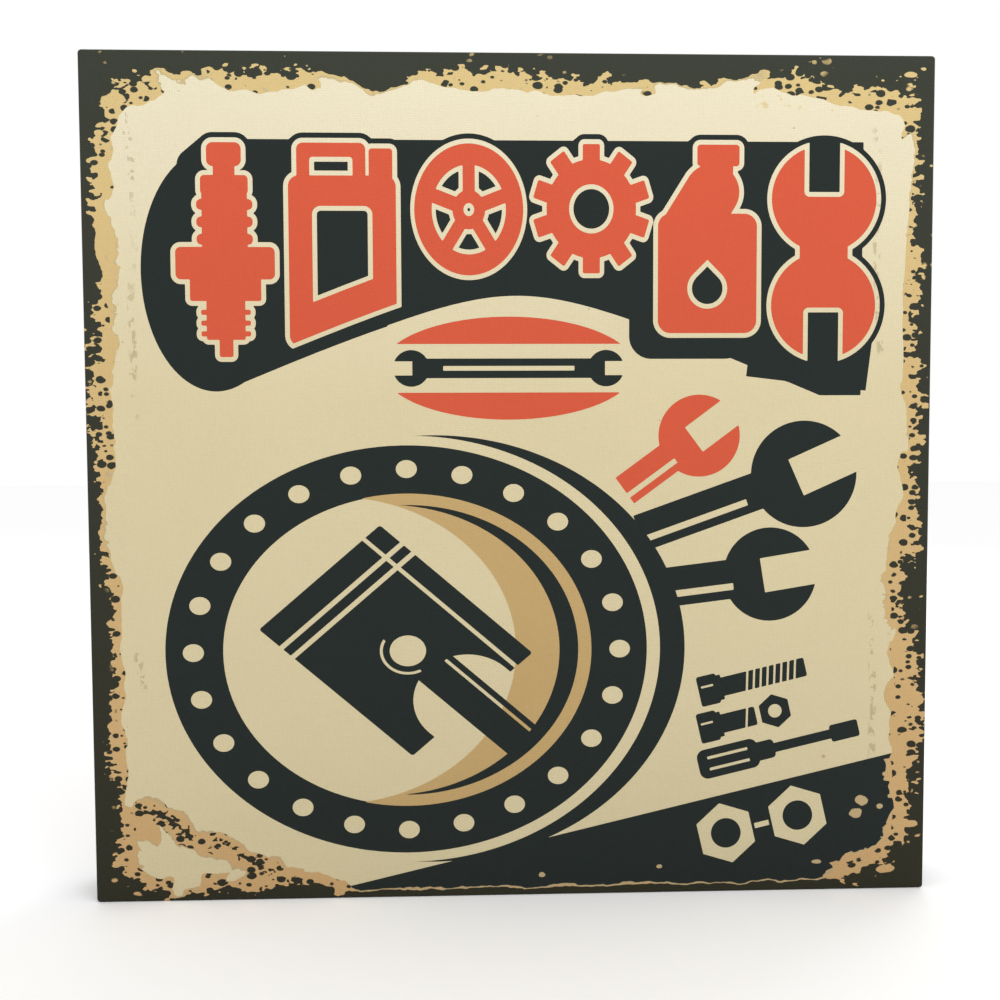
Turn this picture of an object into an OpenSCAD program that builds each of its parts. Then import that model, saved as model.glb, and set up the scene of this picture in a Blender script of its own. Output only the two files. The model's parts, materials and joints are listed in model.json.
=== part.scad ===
// Backlit canvas box sign. A printed canvas is stretched over a wooden frame and lit from
// inside by battery powered LED tape. The front faces -Y and +Z is up. The origin is the
// middle of the bottom edge, half way through the depth of the frame.

/* [Sign] */
// Width and height of the finished sign
sign_size = 400; // [380:5:440]
// Depth of the finished sign, front to back, without hangers and bumpers
sign_depth = 35; // [35:1:45]
// Thickness of the canvas
canvas_t = 0.5; // [0.4:0.1:0.8]
// Width of the canvas flap stapled down at the back
flap_w = 15; // [15:0.5:17]

/* [Frame] */
// Width of each stretcher bar
bar_w = 28; // [27:1:32]
// Distance from the frame's edge to the recess for the diffuser sheet
diffuser_inset = 8; // [6:1:12]
// Thickness of the diffuser sheet
diffuser_t = 2; // [1.5:0.5:3]
// Distance from the frame's edge to the recess for the back panel
panel_inset = 18; // [18:0.5:19]
// Thickness of the back panel
panel_t = 3; // [2.5:0.5:4]
// Length of a corner brace along each bar
brace_leg = 50; // [35:1:52]
// Thickness of a corner brace
brace_t = 9; // [6:1:12]

/* [Lighting] */
// Distance between neighbouring rows of LED tape
tape_pitch = 69; // [64:1:70]
// Width of the LED tape
tape_w = 8; // [8:1:10]
// Distance between neighbouring LEDs along a tape
led_pitch = 33.3; // [16.6, 33.3]
// Side of one LED package
led_size = 5; // [3:0.5:5]

/* [Battery box] */
// Place of the box's middle across the sign
box_x = 95; // [90:1:100]
// Height of the box's middle above the sign's bottom edge
box_z = 78; // [76:1:84]
// Radius of one cell
cell_r = 7.1; // [7:0.05:7.2]
// Length of one cell over its terminals
cell_l = 50.5; // [50:0.1:50.5]
// Travel of the switch slider
switch_travel = 4.2; // [3:0.1:4.2]

/* [Hangers] */
// Height of the hanger rings' pivots above the sign's bottom edge
ring_z = 345; // [342:1:350]
// Distance of each hanger from the sign's side edge
hanger_inset = 10; // [9.6:0.1:10.2]
// Width of a hanger strap
strap_w = 9; // [8:0.5:9.5]

/* [Hidden] */
$fn = 48;
eps = 0.01;

sides = [0, 1, 2, 3];
side_angle = 90;
mid_z = sign_size / 2;
half_d = sign_depth / 2;
frame_size = sign_size - 2 * canvas_t;
frame_half = half_d - canvas_t;
inner_half = frame_size / 2 - bar_w;

// Depth of each layer, measured along Y
panel_back_y = frame_half - 0.2;
panel_front_y = panel_back_y - panel_t;
sheet_gap = 0.3;
reflector_t = 0.3;
reflector_y = panel_front_y - reflector_t;
tape_t = 0.3;
tape_y = reflector_y - tape_t;
led_h = 1.6;
led_y = tape_y - led_h;

// Fasteners
screw_r = 1.5;
screw_l = 12;
screw_head_r = 3;
screw_head_h = 1.4;
// Cross recess of a screw, as shares of its head's radius
recess_l = 1.5;
recess_w = 0.22;
panel_screw_inset = panel_inset + 5;
panel_screw_places = [-120, 120];
staple_w = 10;
staple_wire = 0.7;
staple_leg = 6;
staple_places = [-160, -120, -80, -40, 0, 40, 80, 120, 160];
hanger_staple_place = 120;

// Battery box, open at the back under its door
box_wall = 1.6;
cell_pitch = 15;
cell_count = 3;
contact_room = 7;
bay_w = cell_count * cell_pitch + 0.6;
bay_h = cell_l + contact_room;
switch_w = 12;
box_w = bay_w + switch_w + 3 * box_wall;
box_h = bay_h + 2 * box_wall;
box_depth = 16.8;
floor_t = 1.5;
saddle_h = 3.5;
flange_w = 7;
flange_t = 2;
flange_back_y = panel_back_y + flange_t;
box_front_y = panel_back_y - box_depth;
bay_x = box_x - (switch_w + box_wall) / 2;
switch_x = box_x + (bay_w + box_wall) / 2;
switch_z = box_z + 12;
cell_clear = 0.6;
saddle_clear = 0.15;
cell_y = panel_back_y - cell_clear - cell_r;
box_screw_x = box_w / 2 + flange_w / 2;
box_screw_z = box_h / 2 - 6;
box_screw_r = 1.1;
box_screw_head_r = 2.1;
box_screw_head_h = 1;

// Contacts
contact_w = 10;
contact_t = 0.4;
nub_r = 2.6;
nub_l = 1.3;
spring_l = bay_h - cell_l - 2 * contact_t;
spring_wire_r = 0.35;
spring_turns = 4;
spring_r1 = 3.8;
spring_r2 = 2.4;
spring_steps = 12;
spring_sides = 5;

// Door over the cells, hinged along its top edge
door_rim = 1.2;
door_gap = 0.3;
door_t = 1.8;
door_w = bay_w + 2 * door_rim;
door_h = bay_h + 2 * door_rim;
hinge_r = 1.9;
hinge_y = flange_back_y + 0.2;
hinge_z = box_z + door_h / 2 + 2.6;
knuckle_w = 24;
lug_w = 6;
pin_r = 0.9;
pin_fit = 0.02;
pin_play = 0.07;

// Switch
slider_w = 3;
slider_base_w = 4;
slider_z = 3;
slider_clear = 0.3;
switch_body_w = 11.4;
switch_body_z = 6;
switch_body_d = 5;
switch_gap = 0.1;
nub_reach = 1.6;

// Hangers
strap_t = 1;
strap_l = 35;
ring_wire_r = 1;
ring_half_w = 7.5;
ring_leg = 4;
loop_r = 2.1;
loop_bore_r = 1.1;
ring_y = half_d + loop_r + 0.3;
hanger_x = sign_size / 2 - hanger_inset;
hanger_screw_drops = [17, 28];
hanger_screw_r = 1.2;
hanger_screw_head_r = 2.4;

// Bumpers
bumper_r = 4.7;
bumper_tip_r = 3;
bumper_h = 4.5;
bumper_inset = 10;

// LED tape: three LEDs and one resistor to a segment
segment_l = 3 * led_pitch;
tape_half = 1.5 * segment_l;
tape_count = 5;
short_segments = 2;
full_segments = 3;
wire_r = 0.6;
pad_z = 2.2;
pad_step = 1.4;
pad_reach = 1.5;
red_reach = 2.5;
black_reach = 5.5;

function tape_z(n) = mid_z + (n - 3) * tape_pitch;
function segments(n) = n == 1 ? short_segments : full_segments;

// Places the children, drawn for the bottom side, on side k: bottom, left, top or right
module on_side(k) {
    translate([0, 0, mid_z])
        rotate([0, side_angle * k, 0])
            translate([0, 0, -mid_z])
                children();
}

// A block given by its middle in X and Z, its front in Y, and its size
module block(x, y, z, size) {
    translate([x - size[0] / 2, y, z - size[2] / 2])
        cube(size);
}

// A cylinder along +Y that starts at the given point
module rod_y(x, y, z, r, l) {
    translate([x, y, z])
        rotate([-90, 0, 0])
            cylinder(r = r, h = l);
}

// A cylinder along X, centred on the given point
module rod_x(x, y, z, r, l) {
    translate([x, y, z])
        rotate([0, 90, 0])
            cylinder(r = r, h = l, center = true);
}

// A round wire through the given points, with round elbows
module wire(points) {
    for (i = [1:len(points) - 1]) {
        a = points[i - 1];
        b = points[i];
        run = b - a;
        length = norm(run);
        pitch = acos(run[2] / length);
        yaw = atan2(run[1], run[0]);
        translate(a)
            rotate([0, pitch, yaw])
                cylinder(r = wire_r, h = length, $fn = 16);
    }
    for (i = [1:len(points) - 2])
        translate(points[i])
            sphere(r = wire_r, $fn = 16);
}

// A pan head screw driven towards -Y, with its seat on the plane y = seat
module screw(x, seat, z, r, l, head_r, head_h) {
    difference() {
        union() {
            rod_y(x, seat - l, z, r, l + eps);
            rod_y(x, seat, z, head_r, head_h);
        }
        for (turn = [0, side_angle])
            translate([x, seat + head_h, z])
                rotate([0, turn, 0])
                    cube([recess_l * head_r, head_h, recess_w * head_r], center = true);
    }
}

module canvas_print() {
    color("wheat")
        difference() {
            block(0, -half_d, mid_z, [sign_size, sign_depth, sign_size]);
            block(0, -frame_half, mid_z, [frame_size, 2 * frame_half, frame_size]);
            opening = sign_size - 2 * flap_w;
            block(0, 0, mid_z, [opening, sign_depth, opening]);
        }
}

module stretcher(k) {
    color("burlywood")
        on_side(k)
            difference() {
                translate([0, 0, canvas_t])
                    intersection() {
                        rotate([90, 0, 90])
                            linear_extrude(height = frame_size, center = true)
                                polygon([
                                    [-frame_half, 0],
                                    [-frame_half, diffuser_inset],
                                    [-frame_half + diffuser_t, diffuser_inset],
                                    [-frame_half + diffuser_t, bar_w],
                                    [panel_front_y, bar_w],
                                    [panel_front_y, panel_inset],
                                    [frame_half, panel_inset],
                                    [frame_half, 0]
                                ]);
                        rotate([90, 0, 0])
                            linear_extrude(height = sign_depth, center = true)
                                polygon([
                                    [-frame_size / 2, 0],
                                    [frame_size / 2, 0],
                                    [frame_size / 2 - bar_w, bar_w],
                                    [-frame_size / 2 + bar_w, bar_w]
                                ]);
                    }
                for (x = panel_screw_places)
                    rod_y(x, panel_back_y - screw_l, canvas_t + panel_screw_inset, screw_r,
                        screw_l);
                if (k == 1)
                    hanger_pilot_holes(-1);
                if (k == 3)
                    hanger_pilot_holes(1);
            }
}

// Pilot holes of one hanger, drawn in the bottom bar's place before on_side turns it.
// On the right side (way = 1) +X becomes up, and on the left side (way = -1) down.
module hanger_pilot_holes(way) {
    for (drop = hanger_screw_drops)
        rod_y(way * (ring_z - drop - mid_z), half_d + strap_t - screw_l, hanger_inset,
            hanger_screw_r, screw_l);
}

module corner_brace(k) {
    tip = 4;
    color("tan")
        on_side(k)
            translate([-inner_half, brace_t / 2, mid_z - inner_half])
                rotate([90, 0, 0])
                    linear_extrude(height = brace_t)
                        polygon([[0, 0], [brace_leg, 0], [brace_leg, tip], [tip, brace_leg],
                            [0, brace_leg]]);
}

function under_hanger(k, x) =
    (k == 1 && x == -hanger_staple_place) || (k == 3 && x == hanger_staple_place);

module staple(x) {
    z = (flap_w + 1) / 2;
    block(x, half_d, z, [staple_w, staple_wire, staple_wire]);
    for (end = [-1, 1])
        block(x + end * (staple_w - staple_wire) / 2, half_d - staple_leg, z,
            [staple_wire, staple_leg + staple_wire, staple_wire]);
}

module canvas_staples() {
    color("silver")
        for (k = sides)
            for (x = staple_places)
                if (!under_hanger(k, x))
                    on_side(k)
                        staple(x);
}

module diffuser_sheet() {
    size = frame_size - 2 * diffuser_inset - sheet_gap;
    color("white")
        block(0, -frame_half, mid_z, [size, diffuser_t, size]);
}

// Clearance hole for the battery box's body in a sheet
module box_cutout() {
    block(box_x, 0, box_z, [box_w + sheet_gap, sign_depth, box_h + sheet_gap]);
}

module reflector_sheet() {
    size = 2 * inner_half - sheet_gap;
    color("whitesmoke")
        difference() {
            block(0, reflector_y, mid_z, [size, reflector_t, size]);
            box_cutout();
        }
}

module back_panel() {
    size = frame_size - 2 * panel_inset - sheet_gap;
    color("sienna")
        difference() {
            block(0, panel_front_y, mid_z, [size, panel_t, size]);
            box_cutout();
            for (k = sides)
                for (x = panel_screw_places)
                    on_side(k)
                        rod_y(x, 0, canvas_t + panel_screw_inset, screw_r, sign_depth);
            for (x = [-box_screw_x, box_screw_x])
                for (z = [-box_screw_z, box_screw_z])
                    rod_y(box_x + x, 0, box_z + z, box_screw_r, sign_depth);
        }
}

module panel_screws() {
    color("silver")
        for (k = sides)
            for (x = panel_screw_places)
                on_side(k)
                    screw(x, panel_back_y, canvas_t + panel_screw_inset, screw_r, screw_l,
                        screw_head_r, screw_head_h);
}

module led_tape(n) {
    length = segments(n) * segment_l;
    color("ivory")
        block(-tape_half + length / 2, tape_y, tape_z(n), [length, tape_t, tape_w]);
}

module led_row(n) {
    lens_r = 0.4 * led_size;
    lens_depth = 0.3;
    color("gold")
        for (i = [1:segments(n) * 3]) {
            x = -tape_half + (i - 0.5) * led_pitch;
            difference() {
                block(x, led_y, tape_z(n), [led_size, led_h, led_size]);
                rod_y(x, led_y - eps, tape_z(n), lens_r, lens_depth);
            }
        }
}

module tape_resistors() {
    size = [1.6, 0.6, 3.2];
    color("dimgray")
        for (n = [1:tape_count])
            for (i = [1:segments(n)])
                block(-tape_half + (i - 0.5) * segment_l + led_pitch / 2, tape_y - size[1],
                    tape_z(n), size);
}

// Jumpers at the left ends of the tapes; the black ones bridge over the red ones
module jumper_wires_red() {
    y = tape_y - wire_r;
    near = -tape_half + pad_reach;
    out = -tape_half - red_reach;
    color("firebrick")
        for (n = [1:tape_count - 1])
            wire([
                [near, y, tape_z(n) + pad_z],
                [out, y, tape_z(n) + pad_z],
                [out, y, tape_z(n + 1) + pad_z - pad_step],
                [near, y, tape_z(n + 1) + pad_z - pad_step]
            ]);
}

module jumper_wires_black() {
    y = tape_y - wire_r;
    bridge_y = y - 3 * wire_r;
    near = -tape_half + pad_reach;
    out = -tape_half - black_reach;
    color("black")
        for (n = [1:tape_count - 1])
            wire([
                [near, y, tape_z(n) - pad_z + pad_step],
                [near, bridge_y, tape_z(n) - pad_z + pad_step],
                [out, bridge_y, tape_z(n) - pad_z + pad_step],
                [out, bridge_y, tape_z(n + 1) - pad_z],
                [near, bridge_y, tape_z(n + 1) - pad_z],
                [near, y, tape_z(n + 1) - pad_z]
            ]);
}

// Leads from the battery box's side wall to the right end of the lowest tape
module supply_lead(z_offset) {
    tape_end = -tape_half + short_segments * segment_l;
    wall_x = box_x - box_w / 2;
    y = tape_y - wire_r;
    lead_y = cell_y - 2;
    elbow_x = tape_end + 3;
    z = tape_z(1) + z_offset;
    wire([
        [tape_end - pad_reach, y, z],
        [elbow_x, y, z],
        [elbow_x, lead_y, z],
        [wall_x, lead_y, z]
    ]);
}

module supply_lead_red() {
    color("firebrick")
        supply_lead(pad_z);
}

module supply_lead_black() {
    color("black")
        supply_lead(-pad_z);
}

module hinge_lug(side) {
    x = bay_x + side * (knuckle_w / 2 + door_gap + lug_w / 2);
    rod_x(x, hinge_y, hinge_z, hinge_r, lug_w);
    block(x, panel_back_y, hinge_z, [lug_w, hinge_y - panel_back_y, 2 * hinge_r]);
}

// Saddles that the cells lie in
module cell_saddles() {
    difference() {
        block(bay_x, box_front_y + floor_t - eps, box_z, [bay_w, saddle_h, bay_h / 2]);
        for (i = [0:cell_count - 1])
            translate([bay_x + (i - 1) * cell_pitch, cell_y, box_z])
                cylinder(r = cell_r + saddle_clear, h = bay_h, center = true);
    }
}

// The box's body and flange, with all its pockets and holes but the hinge pin's
module battery_case() {
    slot_w = switch_travel + slider_w + 2 * slider_clear;
    notch_h = 7;
    thumb_w = 14;
    thumb_depth = 1;
    dot_r = 0.6;
    dot_depth = 0.3;
    dots = [[-3, 4], [3, 4], [3, 6]];
    difference() {
        union() {
            block(box_x, box_front_y, box_z, [box_w, box_depth + eps, box_h]);
            block(box_x, panel_back_y, box_z,
                [box_w + 2 * flange_w, flange_t, box_h + 2 * flange_w]);
        }
        block(bay_x, box_front_y + floor_t, box_z, [bay_w, sign_depth, bay_h]);
        block(bay_x, panel_back_y, box_z,
            [door_w + 2 * door_gap, sign_depth, door_h + 2 * door_gap]);
        block(bay_x, panel_back_y, hinge_z - 1,
            [knuckle_w + 2 * door_gap, sign_depth, notch_h]);
        block(bay_x, flange_back_y - thumb_depth, box_z - door_h / 2,
            [thumb_w, sign_depth, notch_h]);
        block(switch_x, box_front_y - eps, box_z, [switch_w, box_depth, bay_h]);
        block(switch_x, 0, switch_z, [slot_w, sign_depth, slider_z + 2 * slider_clear]);
        for (dot = dots)
            rod_y(switch_x + dot[0], flange_back_y - dot_depth, switch_z + dot[1], dot_r, 1);
        for (x = [-box_screw_x, box_screw_x])
            for (z = [-box_screw_z, box_screw_z])
                rod_y(box_x + x, 0, box_z + z, box_screw_r, sign_depth);
    }
}

module battery_box() {
    color("darkslategray")
        difference() {
            union() {
                battery_case();
                cell_saddles();
                for (side = [-1, 1])
                    hinge_lug(side);
            }
            rod_x(bay_x, hinge_y, hinge_z, pin_r + pin_fit, knuckle_w + 2 * lug_w + 2);
        }
}

// Cell n points its positive end up when n is odd and down when n is even.
// Its own frame has the positive end up, and the other cells are mirrored
module battery(n) {
    can_r = cell_r - 0.1;
    shoulder = 0.8;
    bottom = -cell_l / 2;
    lift = spring_l / 2;
    color("gray")
        translate([bay_x + (n - 2) * cell_pitch, cell_y, box_z])
            mirror([0, 0, (n + 1) % 2])
                translate([0, 0, lift])
                    rotate_extrude()
                        polygon([
                            [0, bottom],
                            [can_r - shoulder, bottom],
                            [can_r, bottom + shoulder],
                            [can_r, -bottom - nub_l - shoulder],
                            [can_r - shoulder, -bottom - nub_l],
                            [nub_r, -bottom - nub_l],
                            [nub_r, -bottom],
                            [0, -bottom]
                        ]);
}

// One ring of points around the spring's wire, at step i along the coil
function spring_ring(i) =
    let (part = i / (spring_turns * spring_steps),
        turn = 360 * i / spring_steps,
        r = spring_r1 + (spring_r2 - spring_r1) * part,
        z = 1.1 * spring_wire_r + (spring_l - 2.2 * spring_wire_r) * part)
    [for (j = [0:spring_sides - 1])
        let (a = 360 * j / spring_sides, reach = r + spring_wire_r * cos(a))
        [reach * cos(turn), reach * sin(turn), z + spring_wire_r * sin(a)]];

module coil_spring() {
    rings = spring_turns * spring_steps;
    points = [for (i = [0:rings]) each spring_ring(i)];
    skin = [for (i = [0:rings - 1])
        for (j = [0:spring_sides - 1])
            let (k = (j + 1) % spring_sides, base = i * spring_sides)
            [base + j, base + k, base + spring_sides + k, base + spring_sides + j]];
    first = [for (j = [spring_sides - 1:-1:0]) j];
    last = [for (j = [0:spring_sides - 1]) rings * spring_sides + j];
    polyhedron(points = points, faces = concat(skin, [first, last]));
}

module contact_springs() {
    color("silver")
        for (n = [1:cell_count])
            translate([bay_x + (n - 2) * cell_pitch, cell_y, box_z])
                mirror([0, 0, (n + 1) % 2])
                    translate([0, 0, -bay_h / 2 + contact_t])
                        coil_spring();
}

// Two long plates join neighbouring cells, and two short ones are the terminals
module contact_plates() {
    long_w = cell_pitch + contact_w;
    offset_z = (bay_h - contact_t) / 2;
    color("silver")
        for (end = [-1, 1]) {
            block(bay_x + end * cell_pitch, cell_y - contact_w / 2, box_z - end * offset_z,
                [contact_w, contact_w, contact_t]);
            block(bay_x - end * cell_pitch / 2, cell_y - contact_w / 2, box_z - end * offset_z,
                [long_w, contact_w, contact_t]);
        }
}

module battery_door() {
    door_y = flange_back_y - door_t;
    neck_h = hinge_z - box_z - door_h / 2 + 2;
    rib_count = 5;
    rib_pitch = 3;
    rib_l = 18;
    rib_w = 1.2;
    rib_h = 0.5;
    first_rib_z = box_z - door_h / 2 + 5;
    tongue_w = 3;
    tongue_t = 1.2;
    tongue_l = 2.5;
    color("darkslategray")
        difference() {
            union() {
                block(bay_x, door_y, box_z, [door_w, door_t, door_h]);
                block(bay_x, door_y + 0.1, hinge_z - neck_h / 2,
                    [knuckle_w, door_t - 0.1, neck_h]);
                rod_x(bay_x, hinge_y, hinge_z, hinge_r, knuckle_w);
                for (side = [-1, 1])
                    block(bay_x + side * cell_pitch / 2, door_y - tongue_l,
                        box_z - bay_h / 2 + tongue_t, [tongue_w, tongue_l + eps, tongue_t]);
                for (i = [0:rib_count - 1])
                    block(bay_x, door_y, first_rib_z + i * rib_pitch,
                        [rib_l, door_t + rib_h, rib_w]);
            }
            rod_x(bay_x, hinge_y, hinge_z, pin_r + pin_play, knuckle_w + 2);
        }
}

module door_hinge_pin() {
    color("silver")
        rod_x(bay_x, hinge_y, hinge_z, pin_r, knuckle_w + 2 * lug_w);
}

module switch_body() {
    pocket_w = switch_travel + slider_base_w + 2 * slider_clear;
    pocket_d = 2.4;
    pin_l = 3;
    pin_size = [0.6, pin_l + eps, 1];
    top = panel_back_y - switch_gap;
    color("black") {
        difference() {
            block(switch_x, top - switch_body_d, switch_z,
                [switch_body_w, switch_body_d, switch_body_z]);
            block(switch_x, top - pocket_d, switch_z,
                [pocket_w, pocket_d + 1, slider_z + 2 * slider_clear]);
        }
        for (x = [-3, 0, 3])
            block(switch_x + x, top - switch_body_d - pin_l, switch_z, pin_size);
    }
}

module switch_slider() {
    base_d = 1.8;
    base_y = panel_back_y - switch_gap - base_d - slider_clear;
    x = switch_x - switch_travel / 2;
    color("white")
        union() {
            block(x, base_y, switch_z, [slider_base_w, base_d, slider_z]);
            block(x, base_y, switch_z,
                [slider_w, flange_back_y + nub_reach - base_y, slider_z]);
        }
}

module battery_box_screws() {
    color("silver")
        for (x = [-box_screw_x, box_screw_x])
            for (z = [-box_screw_z, box_screw_z])
                screw(box_x + x, flange_back_y, box_z + z, box_screw_r, flange_t + panel_t,
                    box_screw_head_r, box_screw_head_h);
}

module hanger_strap(side) {
    x = side * hanger_x;
    color("silver")
        difference() {
            union() {
                block(x, half_d, ring_z - strap_l / 2, [strap_w, strap_t, strap_l]);
                rod_x(x, ring_y, ring_z, loop_r, strap_w);
                rod_y(x, half_d, ring_z - strap_l, strap_w / 2, strap_t);
            }
            rod_x(x, ring_y, ring_z, loop_bore_r, strap_w + 2);
            for (drop = hanger_screw_drops)
                rod_y(x, half_d - 1, ring_z - drop, hanger_screw_r, strap_t + 2);
        }
}

// D ring, hanging down over its strap
module hanger_ring(side) {
    color("silver")
        translate([side * hanger_x, ring_y, ring_z]) {
            rod_x(0, 0, 0, ring_wire_r, 2 * ring_half_w);
            for (end = [-1, 1]) {
                translate([end * ring_half_w, 0, 0])
                    sphere(r = ring_wire_r);
                translate([end * ring_half_w, 0, -ring_leg])
                    cylinder(r = ring_wire_r, h = ring_leg);
            }
            translate([0, 0, -ring_leg])
                rotate([-90, 0, 0])
                    rotate_extrude(angle = 180)
                        translate([ring_half_w, 0])
                            circle(r = ring_wire_r);
        }
}

module hanger_screws() {
    color("silver")
        for (side = [-1, 1])
            for (drop = hanger_screw_drops)
                screw(side * hanger_x, half_d + strap_t, ring_z - drop, hanger_screw_r,
                    screw_l, hanger_screw_head_r, screw_head_h);
}

module bumper(side) {
    bevel = 1.4;
    color("dimgray")
        translate([side * (sign_size / 2 - bumper_inset), half_d, bumper_inset])
            rotate([-90, 0, 0])
                rotate_extrude()
                    polygon([
                        [0, 0],
                        [bumper_r, 0],
                        [bumper_r, bumper_h - bevel],
                        [bumper_tip_r, bumper_h],
                        [0, bumper_h]
                    ]);
}

canvas_print();
stretcher(0);  // stretcher_bottom
stretcher(1);  // stretcher_left
stretcher(2);  // stretcher_top
stretcher(3);  // stretcher_right
corner_brace(0);  // corner_brace_1
corner_brace(1);  // corner_brace_2
corner_brace(2);  // corner_brace_3
corner_brace(3);  // corner_brace_4
canvas_staples();
diffuser_sheet();
reflector_sheet();
back_panel();
panel_screws();
led_tape(1);  // led_tape_1
led_tape(2);  // led_tape_2
led_tape(3);  // led_tape_3
led_tape(4);  // led_tape_4
led_tape(5);  // led_tape_5
led_row(1);  // led_row_1
led_row(2);  // led_row_2
led_row(3);  // led_row_3
led_row(4);  // led_row_4
led_row(5);  // led_row_5
tape_resistors();
jumper_wires_red();
jumper_wires_black();
supply_lead_red();
supply_lead_black();
battery_box();
battery(1);  // battery_1
battery(2);  // battery_2
battery(3);  // battery_3
contact_springs();
contact_plates();
battery_door();
door_hinge_pin();
switch_body();
switch_slider();
battery_box_screws();
hanger_strap(-1);  // hanger_strap_left
hanger_strap(1);  // hanger_strap_right
hanger_ring(-1);  // hanger_ring_left
hanger_ring(1);  // hanger_ring_right
hanger_screws();
bumper(-1);  // bumper_left
bumper(1);  // bumper_right
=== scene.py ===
import cmath
import json
import math
import random

import bmesh
import bpy
import numpy as np
from mathutils import Matrix, Vector, geometry, noise as mesh_noise


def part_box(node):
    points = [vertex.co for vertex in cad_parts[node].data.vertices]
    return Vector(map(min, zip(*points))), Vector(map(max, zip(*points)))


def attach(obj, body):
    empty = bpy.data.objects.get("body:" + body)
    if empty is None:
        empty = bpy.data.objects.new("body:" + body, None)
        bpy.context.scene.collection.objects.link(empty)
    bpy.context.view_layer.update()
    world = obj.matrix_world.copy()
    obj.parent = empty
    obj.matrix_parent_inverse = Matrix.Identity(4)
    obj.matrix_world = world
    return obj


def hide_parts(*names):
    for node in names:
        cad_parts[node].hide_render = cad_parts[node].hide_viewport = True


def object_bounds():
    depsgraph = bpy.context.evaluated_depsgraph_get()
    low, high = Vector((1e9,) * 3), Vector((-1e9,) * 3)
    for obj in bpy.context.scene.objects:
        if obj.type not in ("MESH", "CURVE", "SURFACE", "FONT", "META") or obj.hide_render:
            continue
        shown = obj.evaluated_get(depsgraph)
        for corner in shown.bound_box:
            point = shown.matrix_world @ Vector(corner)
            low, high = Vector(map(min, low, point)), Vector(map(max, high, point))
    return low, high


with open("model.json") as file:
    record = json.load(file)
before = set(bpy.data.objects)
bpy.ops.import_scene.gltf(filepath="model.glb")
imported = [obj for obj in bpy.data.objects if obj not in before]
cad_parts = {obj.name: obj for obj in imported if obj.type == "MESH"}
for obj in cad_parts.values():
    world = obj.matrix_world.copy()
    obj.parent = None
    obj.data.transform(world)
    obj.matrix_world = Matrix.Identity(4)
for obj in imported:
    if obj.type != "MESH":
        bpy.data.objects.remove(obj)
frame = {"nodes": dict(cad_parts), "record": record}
cad_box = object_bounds()

MM = 0.001
LOW, HIGH = (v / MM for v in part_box("canvas_print"))
SIGN = HIGH.x - LOW.x
FRONT_Y, BACK_Y = LOW.y, HIGH.y
HALF = SIGN / 2


# ---------------------------------------------------------------- picture shapes
# The picture is drawn on the plane of the front, in millimetres, with its origin at the
# middle of the bottom edge. A point is a complex number: x is across and the imaginary part
# is up. Each shape is a distance function, which is negative inside the shape.

def disc(p, centre, r):
    return abs(p - centre) - r


def oval(p, centre, rx, rz):
    q = p - centre
    k = np.hypot(q.real / rx, q.imag / rz)
    slope = np.hypot(q.real / rx**2, q.imag / rz**2)
    return k * (k - 1) / np.maximum(slope, 1e-9)


def slab(p, centre, half_w, half_h, angle=0.0, corner=0.0):
    q = (p - centre) * cmath.rect(1, -angle)
    dx = abs(q.real) - half_w + corner
    dz = abs(q.imag) - half_h + corner
    outside = np.hypot(np.maximum(dx, 0), np.maximum(dz, 0))
    return outside + np.minimum(np.maximum(dx, dz), 0) - corner


def rod(p, a, b, r):
    t = np.clip(((p - a) * (b - a).conjugate()).real / abs(b - a)**2, 0, 1)
    return abs(p - a - t * (b - a)) - r


def hexagon(p, centre, r, turn=0.0):
    """A hexagon with the apothem r."""
    q = (p - centre) * cmath.rect(1, -turn)
    return either(*((q * cmath.rect(1, -k * math.pi / 3)).real - r for k in range(6)),
                  combine=np.maximum)


def either(*shapes, combine=np.minimum):
    return combine.reduce(shapes)


def both(*shapes):
    return np.maximum.reduce(shapes)


def without(shape, *holes):
    return both(shape, *(-h for h in holes))


# The emblem is drawn on circles, and stretched sideways on the sign
EMBLEM = complex(-50.7, 119.7)
STRETCH = 1.17
RING_R, RING_HOLE_R, BALL_PATH_R, BALL_R, BALLS = 97.8, 74.6, 86.6, 4.25, 24


def emblem_point(p):
    q = p - EMBLEM
    return q.real / STRETCH + 1j * q.imag


def emblem_circle(x, r):
    """A circle of the emblem, moved sideways by x."""
    return lambda p: disc(emblem_point(p), x, r)


def crescent(outer, inner):
    return lambda p: without(outer(p), inner(p))


def bearing_ring(p):
    q = emblem_point(p)
    balls = either(*(disc(q, cmath.rect(BALL_PATH_R, k * math.tau / BALLS), BALL_R)
                     for k in range(BALLS)))
    return without(disc(q, 0, RING_R), disc(q, 0, RING_HOLE_R), balls)


# The piston stands on its rod in a frame turned by TILT, with its pin at the emblem's middle
TILT = math.radians(45)
PISTON_W, CROWN_TOP, SKIRT_END = 34.8, 50.2, -37.0
RING_GROOVES, GROOVE_HALF = (37.6, 31.2), 1.1
# A cream line down the skirt, and the round arch under it
SHINE, SHINE_HALF, SHINE_REACH = complex(25.5, 8), 0.9, 50
SKIRT_ARCH, SKIRT_ARCH_R, ARCH_DROP = -34j, 22, 12
# The rod that comes out of the arch, with a cream line in it
ROD, ROD_HALF, ROD_REACH = complex(2, -34.2), 9, 30.2
ROD_LINE, ROD_LINE_HALF, ROD_LINE_REACH = complex(7.6, -40), 0.7, 26
# The pin, and the glint round its left side
PIN_R, GLINT_R, GLINT_HOLE_R, GLINT_LEFT = 7.4, 11.4, 10.2, 3


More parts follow.
